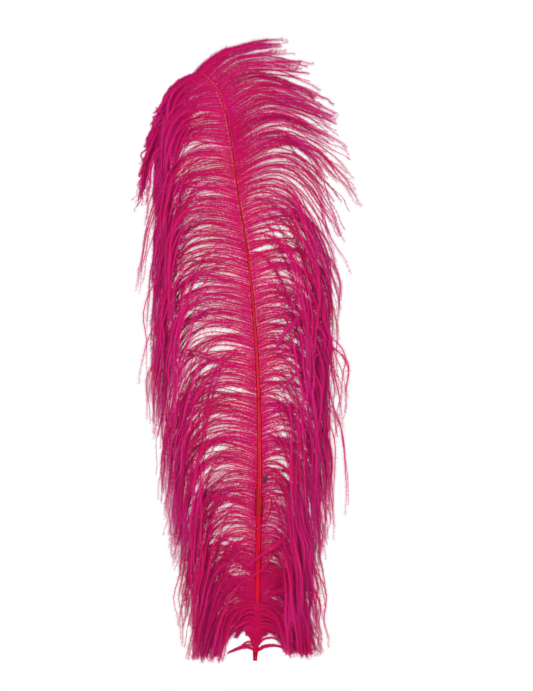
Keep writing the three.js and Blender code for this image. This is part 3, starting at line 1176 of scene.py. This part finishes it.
    def paths(
        self, ways: Array, lift: Array, hang: Array, length: Array, width: Array,
        centre: Array, depth: Array,
    ) -> Array:
        """The barbs' curves: outward and upward integrals of their angles, fanned in depth.

        Args:
            ways: the roots' distances along the shaft.
            lift: angles at the roots, in radians.
            hang: angles at the ends.
            length: the barbs' lengths.
            width: the bends' widths, as a share of the length.
            centre: the bends' places, as a share of the length.
            depth: how far behind the shaft each barb ends.

        Returns:
            Points, barb by barb and step by step.
        """
        share = np.linspace(0, 1, self.steps)[None, :]
        angle = self.angles(share, lift, hang, centre, width)
        out = length[:, None] * running_integral(np.cos(angle), share[0, 1])
        up = length[:, None] * running_integral(np.sin(angle), share[0, 1])
        root = self.line.at(ways)
        edge = self.stance * self.line.radius(ways)
        away = depth[:, None] * smoothstep(share, 0.0, 0.62)
        return np.stack([
            root[:, None, 0] + self.side.value * (edge[:, None] + out),
            root[:, None, 1] + away - self.front, root[:, None, 2] + up], axis=-1)

    def comb(self, barbs: Barbs, rng: np.random.Generator, stray: Array) -> Barbs:
        """Draws the barbs of each clump together.

        Towards their ends they close in on the clump's mean curve, which makes
        the pointed locks. Every clump sways and ripples by sines along its
        hanging part, and every barb also waves a little.

        Args:
            barbs: the barbs as grown.
            rng: the source of chance.
            stray: which barbs stay out of the locks.

        Returns:
            The combed barbs.
        """
        count, steps, _ = barbs.paths.shape
        total, vary = barbs.clumps.max() + 1, self.variety

        def swing(sizes: tuple, half_turns: float) -> Array:
            """A sine along every barb, the same for a whole clump.

            Args:
                sizes: its usual sizes in x, y and z.
                half_turns: how many half turns it makes along a barb.

            Returns:
                The shift of every point.
            """
            size = np.clip(rng.normal(0, 1, (total, 1, 3)), -2, 2) * np.array(sizes)
            phase = rng.uniform(0, 2 * np.pi, (total, 1, 3))
            return (size * np.sin(half_turns * np.pi * share[None, :, None] + phase))[barbs.clumps]

        share = np.linspace(0, 1, steps)
        sums = np.zeros((total, steps, 3))
        np.add.at(sums, barbs.clumps, barbs.paths)
        mean = sums / np.maximum(np.bincount(barbs.clumps, minlength=total), 1)[:, None, None]
        tight = rng.uniform(*vary.tight, total)[barbs.clumps]
        tight = tight * np.where(stray, vary.stray_tight, 1.0)
        gather = tight[:, None] * smoothstep(share, 0.4, 1.0)[None, :]
        paths = barbs.paths + gather[..., None] * (mean[barbs.clumps] - barbs.paths)
        paths += swing(vary.sway, 2.6) * smoothstep(share, 0.3, 0.9)[None, :, None]
        wave = np.zeros_like(paths)
        for cycles, usual in vary.waves:
            phase = rng.uniform(0, 2 * np.pi, (count, 1, 3))
            size = rng.normal(0, usual * self.curl, (count, 1, 3))
            wave += size * np.sin(2 * np.pi * cycles * share[None, :, None] + phase)
        wave += swing(vary.ripple, 7.4)
        paths += wave * smoothstep(share, self.calm, 0.95)[None, :, None]
        return Barbs(paths, barbs.ways, barbs.clumps)


@dataclass
class BarbMaker:
    """Turns barb curves into meshes: a thin stem for each barb, with its barbules."""

    stem: float = 0.27 * MM         # half the stem's width at the root
    web: float = 0.46 * MM          # half the width of the matted fluff at its widest
    barbules: int = 132             # on each side of a barb
    fluff: float = 6.8 * MM         # the longest barbules
    fibre: float = 0.62 * MM        # a barbule's width at its root
    lean: float = 44.0              # degrees between a barb and its barbules
    tip_lean: float = 10.0          # how much more towards the barb's tip
    lean_spread: float = 7.0
    thinning: float = 0.42          # how much shorter they are at the barb's tip
    tilt: float = 0.28              # how far they stand out of the barb's plane
    droop: float = 0.12
    seed: int = 7

    def frames(self, paths: Array, roll: Array) -> tuple[Array, Array, Array]:
        """Directions along each barb, across it in the plane of its barbules, and out of it.

        Args:
            paths: the barbs' curves.
            roll: how far each barb's plane is turned about the barb.

        Returns:
            The three unit vectors at every point.
        """
        along = unit(np.gradient(paths, axis=1))
        facing = np.array([0.0, -1.0, 0.0]) - along * (-along[..., 1:2])
        facing = unit(facing)
        beside = np.cross(facing, along)
        turn = roll[..., None]
        out = facing * np.cos(turn) + beside * np.sin(turn)
        return along, np.cross(out, along), out

    def stems(self, paths: Array, across: Array, out: Array) -> tuple[Array, Array, Array]:
        """Stems with the fluff matted against them: flat four-sided strips that taper to a point.

        A strip has a ridge in front and behind, which is the stem, and thin
        edges, which are the fluff. It is narrow beside the shaft, widens as a
        smooth step to the middle of the barb and narrows again to its point.

        Args:
            paths: the barbs' curves.
            across: directions across each barb at every point.
            out: directions out of its plane.

        Returns:
            Points, triangles and, for each point, its place along and across the barb.
        """
        count, steps, _ = paths.shape
        share = np.linspace(0, 1, steps)
        ridge = self.stem * (1 - 0.8 * share)
        swell = 0.55 + 0.45 * smoothstep(share, 0.2, 0.55)
        edge = ridge + self.web * swell * (1 - smoothstep(share, 0.7, 1.0))
        turn = np.arange(4) * np.pi / 2
        wide = np.cos(turn)[None, :] * edge[:, None]
        deep = np.sin(turn)[None, :] * ridge[:, None]
        points = (
            paths[:, :, None] + wide[None, ..., None] * across[:, :, None]
            + deep[None, ..., None] * out[:, :, None])
        tube = grid_triangles(steps, 4)
        last = 4 * (steps - 1)
        caps = np.array([[0, 2, 1], [0, 3, 2], [last, last + 1, last + 2], [last, last + 2, last + 3]])
        each = np.concatenate([tube, caps])
        triangles = each[None] + (np.arange(count) * steps * 4)[:, None, None]
        places = np.zeros((count, steps, 4, 2))
        places[..., 0] = share[None, :, None]
        places[..., 1] = 0.7 * np.cos(turn)
        return points.reshape(-1, 3), triangles.reshape(-1, 3), places.reshape(-1, 2)

    def fibres(
        self, paths: Array, along: Array, across: Array, out: Array, rng: np.random.Generator,
    ) -> tuple[Array, Array, Array]:
        """Barbules: slim closed spikes on both sides of every barb, leaning to its tip.

        Each is a three-cornered foot on the stem and a point. They are longest
        a fifth of the way out, shorter at both ends, and stand out more
        towards the barb's tip.

        Args:
            paths: the barbs' curves.
            along: directions along each barb at every point.
            across: directions across it.
            out: directions out of its plane.
            rng: the source of chance.

        Returns:
            Points, triangles and, for each point, its place along and across the barb.
        """
        count, steps, _ = paths.shape
        number = self.barbules
        sign = np.array([1.0, -1.0])[None, :, None]
        share = (np.arange(number) + rng.random((count, 2, number))) / number
        share = 0.001 + 0.989 * share**1.15
        place = share * (steps - 1)
        step = np.minimum(place.astype(int), steps - 2)
        rest = (place - step)[..., None]
        barb = np.arange(count)[:, None, None]

        def between(values: Array) -> Array:
            """The values at the barbules' roots, straight between the barb's steps."""
            return values[barb, step] * (1 - rest) + values[barb, step + 1] * rest

        root, lead, aside, face = (between(v) for v in (paths, along, across, out))
        lean = self.lean + self.tip_lean * smoothstep(share, 0.35, 0.8)
        lean = np.radians(lean + rng.normal(0, self.lean_spread, share.shape))
        length = self.fluff * (0.75 + 0.25 * smoothstep(share, 0, 0.15))
        length = length * (1 - self.thinning * smoothstep(share, 0.3, 1))
        length = length * rng.uniform(0.7, 1.1, share.shape)
        tilt = rng.normal(0, self.tilt, share.shape)[..., None]
        way = lead * np.cos(lean)[..., None] + aside * (sign * np.sin(lean))[..., None] + face * tilt
        way = unit(way - np.array([0.0, 0.0, self.droop]))
        half = 0.5 * self.fibre
        low = root - lead * half * sign[..., None]
        high = root + lead * half * sign[..., None]
        front = root + face * self.fibre * 0.8
        tip = root + way * length[..., None]
        points = np.stack([low, high, front, tip], axis=-2)
        each = np.array([[0, 2, 1], [0, 1, 3], [1, 2, 3], [2, 0, 3]])
        many = count * 2 * number
        triangles = each[None] + (np.arange(many) * 4)[:, None, None]
        places = np.zeros((count, 2, number, 4, 2))
        places[..., 0] = share[..., None]
        places[..., 3, 1] = sign
        return points.reshape(-1, 3), triangles.reshape(-1, 3), places.reshape(-1, 2)

    def piece(self, name: str, barbs: Barbs, finish: bpy.types.Material) -> bpy.types.Object:
        """Makes one piece of at most BARB_ROWS barbs.

        Args:
            name: the piece's name.
            barbs: the barbs in it.
            finish: their material.

        Returns:
            The object.
        """
        rng = np.random.default_rng(self.seed + len(name) * 31 + len(barbs.paths))
        count, steps, _ = barbs.paths.shape
        share = np.linspace(0, 1, steps)[None, :]
        roll = rng.normal(0, 0.35, (count, 1)) + rng.normal(0, 0.7, (count, 1)) * share
        along, across, out = self.frames(barbs.paths, roll)
        stem_points, stem_faces, stem_places = self.stems(barbs.paths, across, out)
        fibre_points, fibre_faces, fibre_places = self.fibres(barbs.paths, along, across, out, rng)
        rows = np.concatenate([
            np.repeat(np.arange(count), len(points) // count) for points in (stem_points, fibre_points)])
        places = np.concatenate([stem_places, fibre_places])
        lanes = (rows + 0.5 + 0.42 * places[:, 1]) / BARB_ROWS
        uv = np.stack([0.01 + 0.98 * places[:, 0], lanes], axis=-1)
        points = np.concatenate([stem_points, fibre_points])
        faces = np.concatenate([stem_faces, fibre_faces + len(stem_points)])
        made = mesh_object(name, points, faces, uv)
        made.data.materials.append(finish)
        log.info("%s: %d barbs, %d triangles", name, count, len(faces))
        return made


@dataclass
class Vane:
    """One side's barbs, made as pieces, zone by zone along the shaft."""

    growth: Growth
    maker: BarbMaker
    name: str
    locks: str = ""                 # start of the names of the CAD locks it stands in for
    nodes: tuple[str, ...] = ()     # other CAD nodes that its only piece stands in for
    part: str = "barbs"
    zones: tuple = (        # upper end, joint, first and last lock
        (0.106, None, 1, 3), (0.201, "lower_flex", 4, 6), (0.296, "lower_flex", 7, 9),
        (0.380, "middle_flex", 10, 12), (0.466, "middle_flex", 13, 15), (0.584, "tip_flex", 16, 18),
        (1.0, "tip_flex", 19, 22),
    )

    def build(self, finish: bpy.types.Material) -> None:
        """Grows the side and makes its pieces, of one material, from the foot to the tip.

        Args:
            finish: the barbs' material.
        """
        barbs = self.growth.grow()
        low = 0.0
        for number, (high, joint, first, last) in enumerate(self.zones, start=1):
            chosen = (barbs.ways >= low) & (barbs.ways < high)
            piece = self.maker.piece(f"{self.name}_{number}", barbs.take(chosen), finish)
            (Ride("quill_and_foot") if joint is None else Flex(joint)).hold(piece)
            nodes = self.nodes
            if first:
                nodes = [f"{self.locks}{lock:02d}" for lock in range(first, last + 1)]
            if nodes:
                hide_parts(*nodes)
            low = high


@dataclass(frozen=True)
class Wisp:
    """A loose tuft apart from the combed locks, drawn through points in millimetres."""

    through: tuple
    barbs: int = 4
    loose: float = 1.1      # how far its barbs stand apart at the root


FOOT_WISPS = (
    Wisp(((48, -8, 166), (35, -12, 141), (14, -12, 125), (0, -11, 116), (-11, -11, 104)), 6, 1.6),
    Wisp(((19, -9, 184), (17, -11, 168), (11, -11, 156), (0, -10, 148)), 2, 0.5),
    Wisp(((24, -9, 124), (13, -11, 111), (8, -11, 103), (-4, -10, 96)), 2, 0.6),
    Wisp(((2, -3, 13), (-5, -5, 18), (-13, -6, 18), (-22, -6, 14), (-33, -6, 9)), 5, 1.6),
    Wisp(((2, -3, 15), (-6, -5, 23), (-12, -6, 21), (-19, -7, 12)), 2, 0.6),
    Wisp(((3, -3, 12), (9, -4, 17), (18, -6, 19), (28, -6, 18), (36, -6, 13)), 5, 1.8),
    Wisp(((3, -3, 16), (10, -5, 25), (20, -6, 27), (32, -6, 21)), 2, 0.8),
)
MIDDLE_WISPS = (
    Wisp(((66, -14, 402), (49, -17, 386), (35, -18, 374), (26, -17, 358), (21, -16, 344)), 6, 1.6),
    Wisp(((76, -14, 352), (61, -17, 338), (43, -18, 322), (29, -17, 300)), 5, 1.5),
)


@dataclass
class WispMaker:
    """Draws wisps as small tufts of barbs."""

    steps: int = 22
    seed: int = 5

    def barbs(self, wisps: tuple[Wisp, ...]) -> Barbs:
        """The barbs of a set of wisps.

        A tuft's middle line is a smooth curve through its points: straight
        pieces averaged over a tenth of its length. Its barbs stand apart at
        the root, come closer towards the point and end at different places.

        Args:
            wisps: the tufts.

        Returns:
            Their barbs.
        """
        rng = np.random.default_rng(self.seed)
        share = np.linspace(0, 1, self.steps)
        paths = []
        for wisp in wisps:
            points = np.array(wisp.through, float) * MM
            gaps = np.concatenate([[0], np.cumsum(np.linalg.norm(np.diff(points, axis=0), axis=1))])
            knots = gaps / gaps[-1]
            for _ in range(wisp.barbs):
                sample = share * rng.uniform(0.86, 1.0)
                near = np.linspace(-0.1, 0.1, 9)[:, None] + sample[None, :]
                line = sampled(near, knots, points).mean(0)
                apart = rng.normal(0, wisp.loose * MM, 3)
                paths.append(line + apart * (1 - 0.6 * smoothstep(share, 0.2, 1.0))[:, None])
        count = len(paths)
        return Barbs(np.array(paths), np.zeros(count), np.zeros(count, int))


@dataclass(frozen=True)
class VanePlan:
    """What sets one side of the plume apart from the other."""

    side: Side
    habits: tuple[Habit, ...]
    partings: tuple[Parting, ...]
    roll: tuple[Habit, ...]
    roll_nodes: tuple[str, ...]
    seed: int
    arch: float                         # height of the foot's arch over the quill
    arch_reach: tuple[float, float]
    trim: tuple[float, float]           # lowest and highest foot of a clump
    pinned_from: float = math.inf


VANES = (
    VanePlan(
        Side.LEFT, LEFT_HABITS, LEFT_PARTINGS, LEFT_ROLL,
        ("curl_lock_1", "curl_lock_2", "curl_lock_3"), seed=11, arch=31 * MM,
        arch_reach=(24 * MM, 34 * MM), trim=(4 * MM, 8 * MM)),
    VanePlan(
        Side.RIGHT, RIGHT_HABITS, RIGHT_PARTINGS, RIGHT_ROLL,
        ("crown_lock_1", "crown_lock_2"), seed=25, arch=22 * MM,
        arch_reach=(17 * MM, 30 * MM), trim=(9 * MM, 15 * MM), pinned_from=0.530),
)


@dataclass
class Plumage:
    """All the barbs: two vanes, the rolled tip, the down and the loose tufts."""

    line: ShaftLine
    dyed: bpy.types.Material
    deep: bpy.types.Material

    def build(self) -> None:
        """Makes the barbs of each side, then the tufts."""
        for plan in VANES:
            self.vane(plan)
            self.roll(plan)
            self.down(plan, "front", 3.4 * MM)
            self.down(plan, "back", -3.4 * MM)
        self.tufts("foot_wisps", FOOT_WISPS, Ride("quill_and_foot"), self.deep, 2.6 * MM)
        self.tufts("middle_wisps", MIDDLE_WISPS, Flex("middle_flex"), self.dyed, 3.4 * MM)

    def vane(self, plan: VanePlan) -> None:
        """Makes one vane, from the foot to where the shaft rolls over.

        Args:
            plan: the side.
        """
        growth = Growth(
            self.line, plan.side, plan.habits, low=0.030, high=0.688, partings=plan.partings,
            seed=plan.seed, pinned_from=plan.pinned_from, arch=plan.arch,
            arch_reach=plan.arch_reach, trim=plan.trim, crowded_to=0.110)
        name = plan.side.name.lower()
        Vane(growth, BarbMaker(seed=plan.seed), f"{name}_barbs", f"{name}_lock_").build(self.dyed)

    def roll(self, plan: VanePlan) -> None:
        """Makes one side's barbs on the rolled tip.

        Args:
            plan: the side.
        """
        seed = plan.seed + 1
        growth = Growth(
            self.line, plan.side, plan.roll, low=0.680, high=0.793, pitch=1.1 * MM, seed=seed,
            rolled=True)
        maker = BarbMaker(seed=seed, barbules=80, fluff=4.5 * MM, web=0.4 * MM)
        Vane(
            growth, maker, f"{plan.side.name.lower()}_roll", nodes=plan.roll_nodes,
            zones=((1.0, "tip_flex", 0, 0),)).build(self.dyed)

    def down(self, plan: VanePlan, label: str, front: float) -> None:
        """Makes one side's down before or behind the foot of the shaft.

        The left side's pieces stand in for the two CAD tufts.

        Args:
            plan: the side.
            label: "front" or "back".
            front: how far in front of the shaft's middle it grows.
        """
        seed = plan.seed + 2
        growth = Growth(
            self.line, plan.side, DOWN_HABITS, low=0.015, high=0.064, pitch=1.9 * MM,
            falling_share=0.4, clump_sizes=(3, 7), stray_share=0.1, front=front, stance=0.1,
            curl=2.4, calm=0.1, seed=seed, arch=plan.arch, arch_reach=plan.arch_reach)
        maker = BarbMaker(seed=seed, barbules=90, fluff=4.6 * MM, web=0.3 * MM)
        nodes = (f"{label}_down_tuft",) if plan.side is Side.LEFT else ()
        Vane(
            growth, maker, f"{plan.side.name.lower()}_{label}_down", nodes=nodes, part="down",
            zones=((1.0, None, 0, 0),)).build(self.deep)

    def tufts(
        self, name: str, wisps: tuple[Wisp, ...], holder: Ride | Flex, finish: bpy.types.Material,
        fluff: float,
    ) -> None:
        """Makes one piece of loose tufts.

        Args:
            name: the piece's name.
            wisps: its tufts.
            holder: what holds it.
            finish: its material.
            fluff: length of its barbules.
        """
        maker = BarbMaker(seed=3, barbules=110, fluff=fluff, web=0.25 * MM)
        piece = maker.piece(name, WispMaker().barbs(wisps), finish)
        holder.hold(piece)


# --------------------------------------------------------------------------
# Studio
# --------------------------------------------------------------------------


@dataclass
class Studio:
    """The pale floor, the soft lights and the camera, which looks along +Y."""

    centre: tuple = (0.013, 0.0, 0.356)
    view_height: float = 0.780
    distance: float = 4.0
    floor_drop: float = 0.35

    def build(self) -> None:
        """Sets out the floor, world, lights and camera."""
        self.floor()
        self.world()
        self.lights()
        self.camera()
        bpy.context.scene.view_settings.view_transform = "Standard"

    def floor(self) -> None:
        """A plain pale floor, well below the plume, which is held by its quill."""
        half = 1.6
        corners = np.array([[-half, -half, 0], [half, -half, 0], [half, half, 0], [-half, half, 0]])
        corners = corners - [0, 0, self.floor_drop]
        plane = mesh_object("floor", corners, np.array([[0, 1, 2], [0, 2, 3]]))
        made, board, shader = new_material("pale_floor")
        board.feed(shader, {"Base Color": (0.86, 0.86, 0.86, 1), "Roughness": 0.8})
        plane.data.materials.append(made)

    def world(self) -> None:
        """An even white surround."""
        world = bpy.data.worlds.new("white_surround")
        world.use_nodes = True
        NodeBoard(world.node_tree).feed(
            world.node_tree.nodes["Background"], {"Color": (1, 1, 1, 1), "Strength": 1.0})
        bpy.context.scene.world = world

    def lights(self) -> None:
        """A broad key from the upper left in front, and a weaker fill from the right."""
        middle = np.array(self.centre)
        for name, place, size, power in (
            ("key", (-0.62, -1.7, 0.8), (0.14, 1.5), 24.0),
            ("fill", (1.3, -1.6, 0.4), (1.0, 1.0), 13.0),
        ):
            light = bpy.data.lights.new(name, "AREA")
            light.energy = power
            light.shape = "RECTANGLE"
            light.size, light.size_y = size
            lamp = bpy.data.objects.new(name, light)
            bpy.context.scene.collection.objects.link(lamp)
            lamp.location = place
            aim = unit(middle - np.array(place))
            lamp.rotation_euler = (math.acos(-aim[2]), 0.0, math.atan2(-aim[0], aim[1]))

    def camera(self) -> None:
        """A long lens in front of the plume, level with its middle."""
        lens = bpy.data.cameras.new("front_camera")
        lens.sensor_fit = "AUTO"
        lens.sensor_width = 36.0
        lens.lens = lens.sensor_width * self.distance / self.view_height
        camera = bpy.data.objects.new("front_camera", lens)
        bpy.context.scene.collection.objects.link(camera)
        x, y, z = self.centre
        camera.location = (x, y - self.distance, z)
        camera.rotation_euler = (math.pi / 2, 0.0, 0.0)
        bpy.context.scene.camera = camera


def main() -> None:
    """Builds the plume from the quill to the tip."""
    logging.basicConfig(level=logging.INFO, format="%(message)s")
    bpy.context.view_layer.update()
    Studio().build()
    grain = grain_group()
    line = ShaftLine()
    horn = HornFinish().material(grain)
    Horn(line).build(horn)
    Quill(line).build(horn, QUILL_PITH.material(grain))
    binding = Binding(line)
    binding.splint(BLACK_LACQUER.material(grain))
    binding.tape(WAXED_TAPE.material(grain))
    Plumage(line, DYED_BARBS.material(), DEEP_CRIMSON_BARBS.material()).build()


if __name__ == "__main__":
    main()
